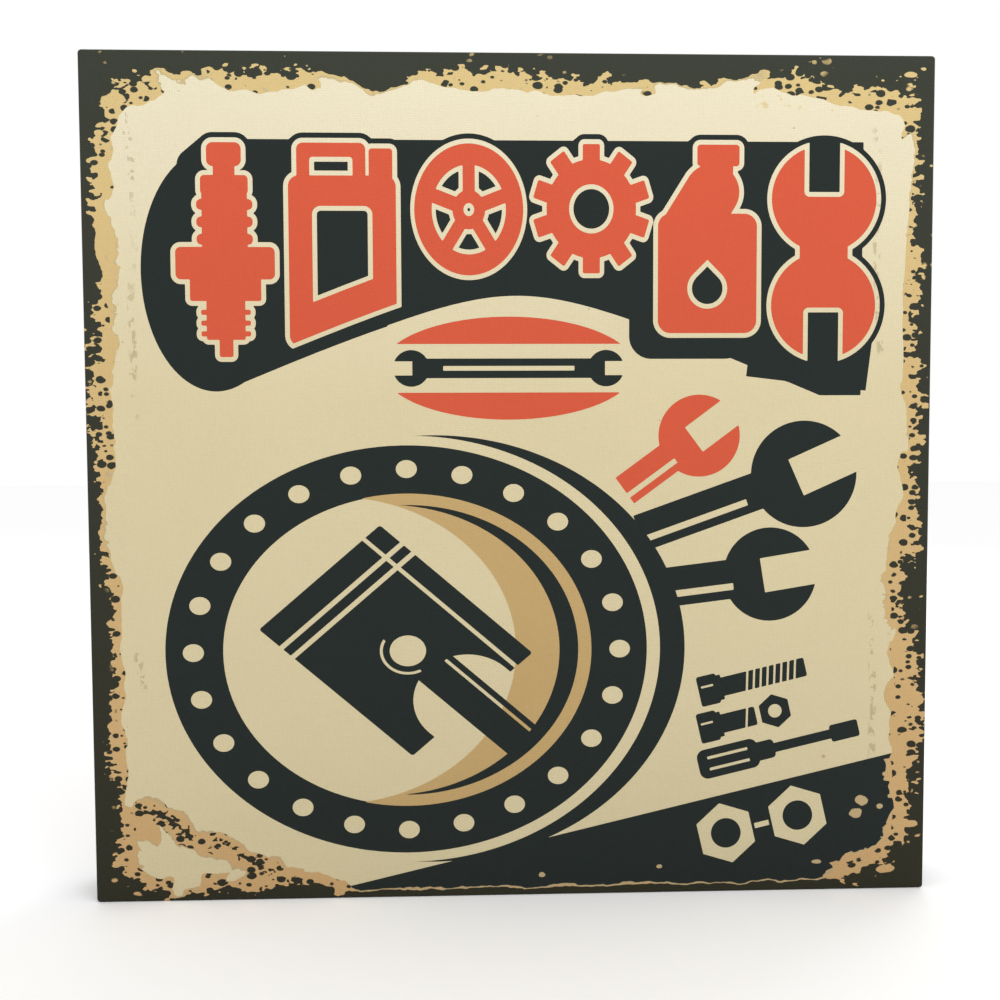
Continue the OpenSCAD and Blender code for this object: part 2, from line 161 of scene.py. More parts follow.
def piston(p):
    q = emblem_point(p) * cmath.rect(1, -TILT)
    body = slab(q, complex(0, (CROWN_TOP + SKIRT_END) / 2), PISTON_W,
                (CROWN_TOP - SKIRT_END) / 2, corner=1.2)
    grooves = [slab(q, complex(0, height), PISTON_W + 2, GROOVE_HALF) for height in RING_GROOVES]
    below = slab(q, SKIRT_ARCH - 1j * ARCH_DROP, SKIRT_ARCH_R, ARCH_DROP)
    arch = either(disc(q, SKIRT_ARCH, SKIRT_ARCH_R), below)
    skirt = without(body, arch, slab(q, SHINE, SHINE_HALF, SHINE_REACH), *grooves)
    rod_shaft = without(slab(q, ROD, ROD_HALF, ROD_REACH),
                        slab(q, ROD_LINE, ROD_LINE_HALF, ROD_LINE_REACH))
    glint = both(disc(q, 0, GLINT_R), GLINT_HOLE_R - abs(q), q.real + GLINT_LEFT)
    return without(either(skirt, rod_shaft), disc(q, 0, PIN_R), glint)


def spanner(head, r, mouth, tail, half_w, slot=True):
    """An open-ended spanner from its head's middle to its tail, with the mouth at an angle."""
    way = (tail - head) / abs(tail - head)
    opening = cmath.rect(1, mouth)

    def shape(p):
        jaw = slab(p, head + 0.56 * r * opening, 0.72 * r, 0.37 * r, mouth)
        middle, reach = (head + tail) / 2, abs(tail - head) / 2
        handle = slab(p, middle, reach, half_w, cmath.phase(way))
        solid = either(without(disc(p, head, r), jaw), without(handle, disc(p, head, 0.6 * r)))
        if not slot:
            return solid
        groove = slab(p, middle + 0.42 * reach * way + 0.38j * half_w * way, 0.7 * reach,
                      0.17 * half_w, cmath.phase(way))
        return without(solid, groove)
    return shape


BAND_FOOT, SLANT = complex(-105, 0), math.radians(13.1)


def band(p):
    """The dark band under a slanting line, down past the bottom edge."""
    return ((p - BAND_FOOT) * cmath.rect(1, -SLANT)).imag


def nut(centre, r):
    return lambda p: without(hexagon(p, centre, r, SLANT), disc(p, centre, 0.56 * r))


BADGE, BADGE_W, BADGE_H, BADGE_GAP = complex(-2, 253.6), 60, 24.2, 11.4


def badge(p):
    return both(oval(p, BADGE, BADGE_W, BADGE_H), BADGE_GAP - abs(p.imag - BADGE.imag))


def badge_spanner(p):
    """A double-ended spanner that lies between the badge's halves."""
    ends = [disc(p, BADGE + side * 46, 8.6) for side in (-1, 1)]
    jaws = [slab(p, BADGE + side * 53, 7.5, 3.3) for side in (-1, 1)]
    return without(either(slab(p, BADGE, 40, 4.6), *ends), slab(p, BADGE, 31, 1.1), *jaws)


def along_slant(p, start):
    return (p - start) * cmath.rect(1, -SLANT)


def bolt(start, length):
    """A bolt that lies on the slant, with its head at the left."""
    def shape(p):
        q = along_slant(p, start)
        head = slab(q, 4.8 + 0j, 4.8, 7.4, corner=1.2)
        collar = slab(q, 10.6 + 0j, 1.1, 6.2, corner=0.5)
        shank = slab(q, complex((length + 11) / 2, 0), (length - 11) / 2, 4.6, corner=1)
        threads = [slab(q, complex(at, 0), 0.5, 7, -0.25) for at in np.arange(24, length - 3, 3.4)]
        return without(either(head, collar, shank), slab(q, 4.5 + 2j, 3, 0.5), *threads)
    return shape


def screwdriver(start, length):
    """A screwdriver that lies on the slant, with its handle at the left."""
    def shape(p):
        q = along_slant(p, start)
        handle = either(slab(q, 15 + 0j, 15, 7.2, corner=4), slab(q, 33 + 0j, 5, 4.6, corner=2))
        grooves = [slab(q, complex(15, side), 10, 0.7) for side in (-2.8, 2.8)]
        blade = either(slab(q, complex((36 + length) / 2, 0), (length - 36) / 2, 2.3),
                       slab(q, complex(length - 7, 0), 7, 4.2, corner=1.2))
        return either(without(handle, *grooves), blade)
    return shape


def bolt_and_nut(start, length):
    def shape(p):
        middle = start + length * cmath.rect(1, SLANT)
        piece = either(hexagon(p, middle, 7.2, SLANT), bolt(start, length - 9.5)(p))
        return without(piece, disc(p, middle, 3.3))
    return shape


# The headline is a row of red signs with a cream line round each, on a dark mass with a
# shadow. Its top is flat and its foot follows an arch.
HEAD_TOP, ARCH_TOP, ARCH_X, ARCH_ROUND, ARCH_SLOPE = 358.0, 287.5, 2.0, 43.0, 0.437
OUTLINE, SURROUND, FOOT_GAP = 2.2, 4.6, 8.5
SHADOW, SHADOW_STEPS = complex(-9, -7.5), 7
# What fills the mass between the signs: a bar, a slanting foot at the right, a round left end
BAR_X, BAR_HALF, BAR_MIDDLE, BAR_RISE = 16, 150, 300, 1.5
MASS_FOOT, MASS_FOOT_W, MASS_FOOT_H, MASS_FOOT_TILT = complex(142, 266), 29, 20, -0.12
MASS_END, MASS_END_W, MASS_END_H = complex(-139, 299), 34, 56


def arch(x):
    return ARCH_TOP - ARCH_SLOPE * (np.hypot(x - ARCH_X, ARCH_ROUND) - ARCH_ROUND)


def above_arch(p, gap):
    return arch(p.real) + gap - p.imag


def spark_plug(p, x, foot):
    def part(half_w, top, bottom, corner=1.0):
        middle = complex(x, HEAD_TOP - (top + bottom) / 2)
        return slab(p, middle, half_w, (bottom - top) / 2, corner=corner)
    threads = [part(11.5, 77 + 5 * k, 79.4 + 5 * k, 0.8) for k in range(3)]
    ribs = [part(13, 26 + 8 * k, 31 + 8 * k, 2.2) for k in range(3)]
    return either(part(8, 0, 11, 3), part(5, 8, 18), part(11, 15, 24, 2), part(10.5, 22, 50),
                  part(23, 48, 63, 2.5), part(16.5, 60, 73, 1), part(9, 70, 91),
                  part(3.2, 90, HEAD_TOP - foot), *ribs, *threads)


def fuel_can(p, x, foot):
    half_w, shoulder = 25.0, HEAD_TOP - 15
    middle = complex(x, (foot + shoulder) / 2)
    body = slab(p, middle, half_w, (shoulder - foot) / 2, corner=5)
    handle = without(slab(p, complex(x - 5, shoulder + 5), 16, 10, corner=3),
                     slab(p, complex(x - 5, shoulder + 3), 10, 5.5, corner=1.5))
    cap = slab(p, complex(x + 18, shoulder + 5), 5.5, 7.5, corner=1.5)
    panel = slab(p, middle + 1j, half_w - 11, (shoulder - foot) / 2 - 15, corner=4)
    return without(either(body, handle, cap), both(panel, above_arch(p, 24)))


def wheel(p, x, foot):
    rz = (HEAD_TOP - foot) / 2
    q = p - complex(x, (HEAD_TOP + foot) / 2)
    q = q.real * rz / 25.5 + 1j * q.imag
    spokes = [rod(q, 0j, cmath.rect(rz - 4, math.pi / 2 + k * math.tau / 5), 3.4)
              for k in range(5)]
    tyre = without(disc(q, 0, rz), disc(q, 0, 0.68 * rz))
    return either(tyre, without(either(disc(q, 0, 0.3 * rz), *spokes), disc(q, 0, 3.0)))


def cog(p, x, foot):
    rz = (HEAD_TOP - foot) / 2
    q = p - complex(x, (HEAD_TOP + foot) / 2)
    q = q.real * rz / 27.5 + 1j * q.imag
    teeth = [slab(q * cmath.rect(1, -math.pi / 2 - k * math.tau / 10), complex(rz - 5, 0), 5, 4.4,
                  corner=0.8) for k in range(10)]
    return without(either(disc(q, 0, rz - 7), *teeth), disc(q, 0, 0.38 * rz))


def drop(p, centre, r):
    """A drop of oil: a disc with a right-angled point on top, tangent to it."""
    q = p - centre
    return np.where(q.imag > abs(q.real), slab(q, 0, r, r, TILT), disc(q, 0, r))


def oil_bottle(p, x, foot):
    top = HEAD_TOP
    body = slab(p, complex(x, (foot + top - 32) / 2), 23.5, (top - 32 - foot) / 2, corner=6)
    shoulder = rod(p, complex(x - 8, top - 38), complex(x + 2, top - 22), 13)
    neck = slab(p, complex(x + 5, top - 12), 7, 12, corner=1)
    cap = slab(p, complex(x + 5, top - 5), 10, 5, corner=1.5)
    return without(either(body, shoulder, neck, cap), drop(p, complex(x, foot + 21), 9.5))


def upright_spanner(p, x, foot):
    r = 25.0
    top, low = complex(x, HEAD_TOP - r), complex(x, foot + r)
    ends = either(disc(p, top, r), disc(p, low, r))
    jaws = [slab(p, top + 16j, 9.5, 15, corner=2.5), slab(p, low - 16j, 9.5, 15, corner=2.5)]
    shaft = slab(p, (top + low) / 2, 11.5, (top - low).imag / 2)
    return without(either(ends, shaft), *jaws)


SIGNS = [(spark_plug, -134, 259), (fuel_can, -79.5, 264), (wheel, -20.5, 297),
         (cog, 37, 298), (oil_bottle, 92, 270), (upright_spanner, 147.5, 258)]


def one_sign(p, sign, x, foot):
    shape = sign(p, x, foot)
    return both(shape, above_arch(p, FOOT_GAP)) if sign is fuel_can else shape


def headline_signs(p):
    return either(*(one_sign(p, *s) for s in SIGNS))


def headline_outline(p):
    return headline_signs(p) - OUTLINE


def headline_mass(p):
    steps = [p - SHADOW * k / (SHADOW_STEPS - 1) for k in range(SHADOW_STEPS)]
    swept = either(*(headline_signs(q) for q in steps)) - SURROUND
    bar = slab(p, complex(BAR_X, BAR_MIDDLE), BAR_HALF, HEAD_TOP + BAR_RISE - BAR_MIDDLE)
    foot = slab(p, MASS_FOOT, MASS_FOOT_W, MASS_FOOT_H, MASS_FOOT_TILT)
    return either(swept, both(bar, above_arch(p, 0)), foot,
                  oval(p, MASS_END, MASS_END_W, MASS_END_H))


# Painted from the back to the front: ink, window (x, z, x, z) and shape
PICTURE = [
    ("dark", (-120, -6, 206, 76), band),
    ("cream", (-70, 10, 78, 226), emblem_circle(0.9, 102.3)),
    ("dark", (-70, 10, 92, 226), crescent(emblem_circle(10.9, 102.5), emblem_circle(0.9, 102.3))),
    ("dark", (-170, 18, 68, 222), bearing_ring),
    ("tan", (-142, 40, 42, 198), crescent(emblem_circle(0, 75.0), emblem_circle(-29.5, 73.6))),
    ("dark", (-142, 40, 42, 198), crescent(emblem_circle(0, 69.6), emblem_circle(-7.7, 69.6))),
    ("dark", (-130, 40, 40, 190), piston),
    ("dark", (52, 160, 170, 232), spanner(139 + 203j, 25.5, 0.42, 60 + 175j, 9)),
    ("dark", (60, 126, 152, 182), spanner(123 + 155j, 22.5, 0.16, 73 + 149j, 9.5)),
    ("red", (44, 186, 114, 246), spanner(88.5 + 221.5j, 19.5, 0.64, 53 + 195.5j, 7.6)),
    ("red", (-64, 227, 60, 281), badge),
    ("dark", (-60, 242, 56, 265), badge_spanner),
    ("dark", (84, 88, 150, 126), bolt(89 + 98j, 53)),
    ("dark", (84, 70, 142, 106), bolt_and_nut(89 + 80j, 38)),
    ("dark", (84, 50, 178, 98), screwdriver(89 + 62j, 80)),
    ("cream", (84, 10, 122, 48), nut(102.5 + 29j, 13)),
    ("cream", (112, 28, 128, 42), lambda p: slab(p, 120 + 33.1j, 3.6, 1.3, SLANT)),
    ("cream", (118, 18, 156, 58), nut(137.5 + 37.2j, 13)),
    ("dark", (-182, 236, 184, 368), headline_mass),
    ("cream", (-166, 250, 178, 362), headline_outline),
    ("red", (-166, 250, 178, 362), headline_signs),
]


# ---------------------------------------------------------------- outlines and the print mesh
TRACE_STEP = 0.4
TRACE_TOLERANCE = 0.03


def trace(shape, window):
    """The closed outlines of a shape inside a window, as lists of complex points."""
    x0, z0, x1, z1 = window
    xs = np.arange(x0, x1 + TRACE_STEP, TRACE_STEP) + 0.0137
    zs = np.arange(z0, z1 + TRACE_STEP, TRACE_STEP) + 0.0071
    field = shape(xs[None, :] + 1j * zs[:, None])
    field[[0, -1], :] = 1.0
    field[:, [0, -1]] = 1.0
    inside = field < 0
    start = {}
    rows, columns = np.nonzero(inside[:-1, :-1] ^ inside[:-1, 1:] | inside[1:, :-1]
                               ^ inside[1:, 1:] | inside[:-1, :-1] ^ inside[1:, :-1])
    for r, c in zip(rows.tolist(), columns.tolist()):
        ring = [(r, c), (r, c + 1), (r + 1, c + 1), (r + 1, c)]
        ends = []
        for k in range(4):
            a, b = ring[k], ring[(k + 1) % 4]
            if inside[a] != inside[b]:
                ends.append((bool(inside[a]), (min(a, b), max(a, b))))
        leave = [e for goes_out, e in ends if goes_out]
        enter = [e for goes_out, e in ends if not goes_out]
        if len(leave) == 2 and ends[0][0]:
            enter = enter[1:] + enter[:1]
        for a, b in zip(leave, enter):
            start[a] = b

    def place(edge):
        (r, c), (s, d) = edge
        f, g = field[r, c], field[s, d]
        t = f / (f - g)
        return complex(xs[c] + t * (xs[d] - xs[c]), zs[r] + t * (zs[s] - zs[r]))

    loops = []
    while start:
        first, at = start.popitem()
        loop = [first]
        while at != first and at in start:
            loop.append(at)
            at = start.pop(at)
        loops.append(thin([place(e) for e in loop]))
    return [loop for loop in loops if len(loop) > 2]


def thin(loop):
    """The loop without the points that its other points already give."""
    points = np.array(loop + loop[:1])
    keep = np.zeros(len(points), bool)
    far = int(abs(points - points[0]).argmax())
    keep[[0, far, -1]] = True
    spans = [(0, far), (far, len(points) - 1)]
    while spans:
        a, b = spans.pop()
        if b - a < 2:
            continue
        off = abs(rod(points[a + 1:b], points[a], points[b], 0)
                  if points[a] != points[b] else abs(points[a + 1:b] - points[a]))
        k = int(off.argmax())
        if off[k] > TRACE_TOLERANCE:
            keep[a + 1 + k] = True
            spans += [(a, a + 1 + k), (a + 1 + k, b)]
    return points[keep][:-1].tolist()


INKS = ("cream", "dark", "red", "tan")
CORNER_R, ROLL_R, EDGE_STEP = 1.7, 1.2, 4.0


def rounded_square(half, r):
    """The outline of a square about the picture's middle, with a point at every EDGE_STEP."""
    straight = np.arange(-half + r, half - r, EDGE_STEP)
    arc = [cmath.rect(r, a) for a in np.linspace(-math.pi / 2, 0, 6)[1:-1]]
    side = [complex(s, -half) for s in (*straight, half - r)]
    side += [complex(half - r, r - half) + q for q in arc]
    return [q * 1j**k + HALF * 1j for k in range(4) for q in side]


def print_mesh():
    """The flat front as points, triangles and each triangle's ink."""
    outer = rounded_square(HALF - ROLL_R, CORNER_R - ROLL_R)
    points, edges = [], []
    for loop in [outer] + [loop for _, window, shape in PICTURE for loop in trace(shape, window)]:
        n = len(points)
        points += [Vector((q.real, q.imag)) for q in loop]
        edges += [(n + k, n + (k + 1) % len(loop)) for k in range(len(loop))]
    flat, _, faces, *_ = geometry.delaunay_2d_cdt(points, edges, [], 0, 1e-4)
    at = np.array([complex(v.x, v.y) for v in flat])
    faces = np.array([f for f in faces if len(f) == 3])
    middle = at[faces].mean(axis=1)
    fits = slab(middle, HALF * 1j, HALF - ROLL_R, HALF - ROLL_R, corner=CORNER_R - ROLL_R) < 0
    faces, middle = faces[fits], middle[fits]
    ink = np.zeros(len(faces), int)
    for name, (x0, z0, x1, z1), shape in PICTURE:
        near = np.nonzero((middle.real > x0) & (middle.real < x1)
                          & (middle.imag > z0) & (middle.imag < z1))[0]
        if len(near):
            ink[near[shape(middle[near]) < 0]] = INKS.index(name)
    return at, faces, ink


# ---------------------------------------------------------------- materials
def srgb(r, g, b):
    """A linear colour from the 8-bit numbers of a colour chart."""
    return tuple(((c / 255 + 0.055) / 1.055)**2.4 for c in (r, g, b)) + (1,)


class Num:
    """A number in a material's nodes that is used in formulas."""

    def __init__(self, tree, socket):
        self.tree, self.socket = tree, socket

    def math(self, operation, *others):
        node = self.tree.nodes.new("ShaderNodeMath")
        node.operation = operation
        for into, value in zip(node.inputs, (self, *others)):
            plug(self.tree, into, value)
        return Num(self.tree, node.outputs[0])

    def __add__(self, other):
        return self.math("ADD", other)

    def __sub__(self, other):
        return self.math("SUBTRACT", other)

    def __mul__(self, other):
        return self.math("MULTIPLY", other)

    def __truediv__(self, other):
        return self.math("DIVIDE", other)

    def __neg__(self):
        return self * -1

    def __rsub__(self, other):
        return -self + other

    def __pow__(self, other):
        return self.math("POWER", other)

    def __abs__(self):
        return self.math("ABSOLUTE")

    __radd__, __rmul__ = __add__, __mul__

    def sin(self):
        return self.math("SINE")

    def low(self, other):
        return self.math("MINIMUM", other)

    def high(self, other):
        return self.math("MAXIMUM", other)

    def over(self, edge, soft=0.2):
        """1 where this number is over an edge, and 0 where it is under it."""
        node = self.tree.nodes.new("ShaderNodeMapRange")
        plug(self.tree, node.inputs["Value"], self)
        node.inputs["From Min"].default_value = edge - soft
        node.inputs["From Max"].default_value = edge + soft
        return Num(self.tree, node.outputs["Result"])

    def under(self, edge, soft=0.2):
        return 1 - self.over(edge, soft)


def plug(tree, into, value):
    if isinstance(value, Num):
        tree.links.new(value.socket, into)
    elif isinstance(value, bpy.types.NodeSocket):
        tree.links.new(value, into)
    else:
        into.default_value = value


class Paint:
    """A material under construction. Its numbers are in millimetres, in the frame of the CAD."""

    def __init__(self, name):
        self.material = bpy.data.materials.new(name)
        self.material.use_nodes = True
        self.tree = self.material.node_tree
        self.bsdf = self.tree.nodes["Principled BSDF"]
        where = self.tree.nodes.new("ShaderNodeTexCoord")
        self.x, self.y, self.z = (v / MM for v in self.parts(where.outputs["Object"]))
        self.nx, self.ny, self.nz = self.parts(where.outputs["Normal"])

    def parts(self, vector):
        node = self.tree.nodes.new("ShaderNodeSeparateXYZ")
        self.tree.links.new(vector, node.inputs[0])
        return [Num(self.tree, out) for out in node.outputs]

    def place(self, sx, sy, sz, seed):
        node = self.tree.nodes.new("ShaderNodeCombineXYZ")
        for into, value, size in zip(node.inputs, (self.x, self.y, self.z), (sx, sy, sz)):
            plug(self.tree, into, value / size + seed * 7.31)
        return node.outputs[0]

    def noise(self, sx, sy=None, sz=None, seed=0, detail=2.0, rough=0.5):
        """Smooth noise, mostly from -1 to 1, with features of these sizes."""
        node = self.tree.nodes.new("ShaderNodeTexNoise")
        vector = self.place(sx, sy or sx, sz or sx, seed)
        self.tree.links.new(vector, node.inputs["Vector"])
        node.inputs["Scale"].default_value = 1.0
        node.inputs["Detail"].default_value = detail
        node.inputs["Roughness"].default_value = rough
        return (Num(self.tree, node.outputs[0]) - 0.5) * 3

    def cells(self, size, seed=0, spread=1.0, stretch=1.0):
        """The distance to the nearest of scattered points, in cells, and a number for each point."""
        node = self.tree.nodes.new("ShaderNodeTexVoronoi")
        vector = self.place(size * stretch, size, size, seed)
        self.tree.links.new(vector, node.inputs["Vector"])
        node.inputs["Scale"].default_value = 1.0
        node.inputs["Randomness"].default_value = spread
        return Num(self.tree, node.outputs["Distance"]), self.parts(node.outputs["Color"])[0]

    def mix(self, a, b, share):
        node = self.tree.nodes.new("ShaderNodeMix")
        node.data_type = "RGBA"
        plug(self.tree, node.inputs[0], share)
        plug(self.tree, node.inputs[6], a)
        plug(self.tree, node.inputs[7], b)
        return node.outputs[2]

    def lighter(self, colour, by):
        """A colour times one number."""
        node = self.tree.nodes.new("ShaderNodeVectorMath")
        node.operation = "SCALE"
        plug(self.tree, node.inputs[0], colour if isinstance(colour, bpy.types.NodeSocket)
             else colour[:3])
        plug(self.tree, node.inputs["Scale"], by)
        return node.outputs[0]

    def done(self, colour, rough=0.6, height=None, depth=0.1, **sockets):
        """Sets what the surface shows. Height is a number from 0 to 1, and depth is in mm."""
        plug(self.tree, self.bsdf.inputs["Base Color"], colour)
        plug(self.tree, self.bsdf.inputs["Roughness"], rough)
        if height is not None:
            node = self.tree.nodes.new("ShaderNodeBump")
            node.inputs["Distance"].default_value = depth * MM
            plug(self.tree, node.inputs["Height"], height)
            self.tree.links.new(node.outputs[0], self.bsdf.inputs["Normal"])
        for name, value in sockets.items():
            self.bsdf.inputs[name.replace("_", " ")].default_value = value
        return self.material


THREAD = 1.02


def weave(p):
    """The height of a plain weave, whose threads follow the front, the sides and the back."""
    across = p.x + (p.y - p.x) * abs(p.nx).over(0.7, 0.01)
    up = p.z + (p.y - p.z) * abs(p.nz).over(0.7, 0.01)
    u = (across / THREAD + p.noise(6, seed=1) * 0.55) * math.pi
    v = (up / THREAD + p.noise(6, seed=2) * 0.55) * math.pi
    warp, weft = abs(u.sin()), abs(v.sin())
    upper = (u.sin() * v.sin()).over(0, 0.3)
    plain = warp**0.35 * weft * (1 - upper) + warp * weft**0.35 * upper
    return plain * (p.noise(1.7, seed=29) * 0.3 + 0.9)


def patch(p, x, z, rx, rz, amount):
    """An amount inside an ellipse, which falls to nothing at its edge."""
    d = ((p.x - x) / rx)**2 + ((p.z - z) / rz)**2
    return (1 - d).high(0) * amount


# Width of the dark border at the left, the right, the top and the foot
BORDER_W = (6.0, 7.5, 10.0, 4.0)
# Places where the worn border is wider: x, z, two radii and how much
WORN = [(196, 146, 26, 20, 8), (-190, 40, 16, 30, 7), (-186, 380, 26, 20, 9),
        (-62, 390, 16, 18, 11), (75, 392, 34, 16, 5), (168, 384, 30, 14, 7),
        (-196, 285, 8, 30, 4), (201, 94, 16, 46, -4), (200, 8, 40, 22, 12), (-196, 120, 12, 50, 6),
        (-187, 6, 17, 15, 9), (-104, 3, 20, 9, 7)]
# Places where the border breaks up into specks: x, z, two radii and how much
BROKEN = [(190, 125, 34, 90, 4), (180, 30, 34, 40, 3), (170, 382, 60, 20, 3),
          (10, 394, 60, 16, 3), (-118, 392, 26, 14, 3), (-180, 362, 26, 34, 3),
          (-196, 100, 16, 80, 3), (-196, 240, 12, 60, 2), (197, 280, 12, 90, 3),
          (-184, 16, 24, 26, 3), (-108, 4, 34, 12, 3)]
# Places where the tan is bare: x, z, two radii and how much
BARE = [(-184, 30, 16, 17, 4), (-104, 6, 24, 8, 2), (148, 388, 24, 10, 2), (-192, 290, 16, 44, 2),
        (160, 6, 12, 6, 4), (170, 13, 12, 8, 4), (181, 22, 12, 10, 4), (193, 32, 13, 11, 4),
        (181, 59, 12, 6, 4), (192, 54, 10, 12, 4), (192, 76, 11, 12, 3), (190, 96, 13, 11, 3),
        (191, 115, 12, 11, 3), (171, 128, 13, 6, 4), (184, 142, 20, 15, 4), (190, 165, 12, 20, 3)]
# Single chips in the ink: x, z, two radii and how much
CHIPS = [(-184, 377, 8, 4, 1), (-165, 384, 4, 2.2, 1), (-191, 362, 3, 2, 1), (181, 10, 6, 2.6, 1),
         (193, 32, 5, 2.4, 1), (-150, 389, 4, 2, 1), (188, 391, 4, 2, 1), (13, 10, 2.0, 1.6, 1),
         (70, 13, 1.8, 1.3, 1), (147, 14, 3, 1.4, 1), (178, 41, 2, 1.6, 1), (169, 44, 4, 3.4, 1),
         (166, 38, 4, 3.2, 1), (183, 46, 1.5, 1.3, 1), (150, 66, 1.4, 1.2, 1)]
# A streak of wear that runs down to the bottom edge
STREAK_FROM, STREAK_TILT, STREAK_END, STREAK_HALF = complex(-184, 48), -0.46, 92, 3.2
# The plain middle of the bottom edge
FOOT_X, FOOT_HALF, FOOT_TOP = 38, 118, 16


def total(p, spots):
    """The patches' amounts together, at most 1."""
    amount = patch(p, *spots[0])
    for spot in spots[1:]:
        amount = amount + patch(p, *spot)
    return amount.low(1)


def wear_streak(p):
    """Distance from the rough streak of wear, under zero in it."""
    turn = cmath.rect(1, -STREAK_TILT)
    dx, dz = p.x - STREAK_FROM.real, p.z - STREAK_FROM.imag
    along = dx * turn.real - dz * turn.imag
    off = dx * turn.imag + dz * turn.real + p.noise(22, seed=6) * 4
    streak = abs(off) - STREAK_HALF + p.noise(9, seed=8) * 3.6
    return streak + along.over(STREAK_END, 3) * 30 + along.under(0, 3) * 30


def worn_edge(p):
    """Shares of the dark border, of the bare tan round it, and of the tan's outline."""
    left, right, top, foot = BORDER_W
    sides = [p.x + (HALF - left), HALF - right - p.x, 2 * HALF - top - p.z, p.z - foot]
    inside = sides[0]
    for side in sides[1:]:
        inside = inside.math("SMOOTH_MIN", side, 14.0)
    for spot in WORN:
        inside = inside - patch(p, *spot)
    plain = abs(p.x - FOOT_X).under(FOOT_HALF, 8) * p.z.under(FOOT_TOP, 4)
    rough = 1 - plain * 0.6
    smooth = inside + (p.noise(38, seed=3) * 4 + p.noise(12, seed=4) * 3.2) * rough
    broken = (total(p, BROKEN) + p.noise(24, seed=5).over(0.15, 0.25) * 0.7).low(1) * rough
    leaves = p.noise(5.2, 3, 3.1, seed=7, detail=1.7, rough=0.5)
    torn = smooth + leaves * (broken * 6.5 + 1.2) * rough
    streak = wear_streak(p)
    torn = torn.low(streak + p.noise(3.1, 3, 2.2, seed=9, detail=1.2) * 6 + 3.0)
    gap, size = p.cells(3.4, seed=11, stretch=1.4)
    near = smooth.under(9, 1).high(streak.under(3, 1)) * broken.high(streak.under(3, 1))
    speck = (gap - size * 0.56 + leaves * 0.08) * 3.4 + near.under(0.5, 0.1) * 20
    dark = torn.low(speck)
    islands = p.noise(9, 5, 5, seed=12, detail=1).over(0.72, 0.04) * smooth.under(-1.5, 0.5)
    islands = islands * p.noise(45, seed=13).over(0, 0.2) * (1 - plain)
    fleck_gap, fleck = p.cells(4.5, seed=16, stretch=1.5)
    flecks = (fleck_gap - fleck * 0.36 + leaves * 0.08).under(0, 0.04) * broken.over(0.8, 0.1)
    flecks = flecks * (smooth + leaves * 4).over(-9, 1) * p.noise(30, seed=17).over(0.15, 0.1)
    flecks = flecks * abs(p.ny).over(0.5, 0.1)
    islands = islands.high(flecks * (smooth + leaves * 4).under(-2, 0.5))
    chips = (total(p, CHIPS) + leaves * 0.3).over(0.45, 0.05)
    islands = islands.high(chips)
    halo = broken * 2.2 + 1.1 - plain * 0.5 + (p.noise(26, seed=14) * 5).high(0) * (1 - plain)
    bare = dark.low(smooth + 1 - broken * 3).low(streak - 1)
    laid_bare = total(p, BARE)
    bare = bare - laid_bare * (1 - plain) * 7 + p.noise(7, seed=15) * (laid_bare * 2 + 0.5)
    field = bare - halo
    bare = field.under(0, 0.12).high(chips)
    return dark.under(0, 0.1) * (1 - islands), bare, field.over(-0.9, 0.35) * bare


# The rows of marks stand this far to each side of MARKS_X; the tan spots lie in one patch
MARKS_X, MARKS_REACH = -2, 175
SPOTTED = (134, 376, 22, 9, 4)


def stains(p):
    """Rows of brown marks down the sides, a few tan spots, and dots."""
    line = abs(abs(p.x - MARKS_X) - MARKS_REACH - p.noise(40, seed=20) * 4)
    row = line.under(1.5, 0.5) * p.noise(50, seed=19).over(0.02, 0.1)
    marks = p.noise(2.4, 9, 3.6, seed=21, detail=2).over(0.16, 0.08) * row
    spots = p.noise(4.6, seed=22).over(0.42, 0.08) * patch(p, *SPOTTED).low(1)
    gap, size = p.cells(21, seed=23)
    dots = (gap - size * 0.035).under(0, 0.01)
    return marks, spots, dots


# Painted light: the print is drawn darker towards its foot and lighter towards its top, as light from
# above would make it
PAINTED_TOP_LIGHT = 0.22
TAN_TOP, TAN_FOOT = srgb(206, 182, 126), srgb(200, 163, 113)
BORDER_TOP, BORDER_FOOT = srgb(54, 57, 48), srgb(46, 45, 33)
CREAM_TOP_PALE_AND_LIT, RIM, STAIN = srgb(220, 211, 183), srgb(176, 164, 130), srgb(148, 130, 84)
INK_COLOURS = {"cream": srgb(211, 198, 160), "dark": srgb(33, 40, 38), "red": srgb(204, 86, 59),
               "tan": srgb(190, 160, 108)}


def printed(name):
    """Ink on canvas, with the worn border over it."""
    p = Paint("print_" + name)
    height = weave(p)
    dark, bare, rim = worn_edge(p)
    marks, spots, dots = stains(p)
    up = p.z / (2 * HALF)
    tan = p.mix(TAN_FOOT, TAN_TOP, up.low(1))
    colour = INK_COLOURS[name]
    if name == "cream":
        # Partly a paler print and partly painted light: the cream turns lighter towards the top, as
        # if lit from above
        colour = p.mix(colour, CREAM_TOP_PALE_AND_LIT, (p.z - 250).over(60, 70))
        colour = p.mix(colour, tan, spots * 0.6)
        colour = p.mix(colour, STAIN, marks * 0.45)
        colour = p.mix(colour, BORDER_FOOT, dots * 0.7)
    colour = p.mix(colour, tan, bare)
    colour = p.mix(colour, RIM, rim * 0.55)
    colour = p.mix(colour, p.mix(BORDER_FOOT, BORDER_TOP, up.low(1)), dark)
    grain = p.noise(1.3, seed=24, detail=3) * 0.030 + p.noise(55, seed=25) * 0.018
    # shade: painted shade in the weave's hollows, the canvas's own grain, and the painted light from
    # above
    shade = (height * 0.10 + 0.93) * (grain + 1) * (up * PAINTED_TOP_LIGHT + 1 - PAINTED_TOP_LIGHT / 2)
    return p.done(p.lighter(colour, shade), 0.68, height, 0.13, Specular_IOR_Level=0.12)


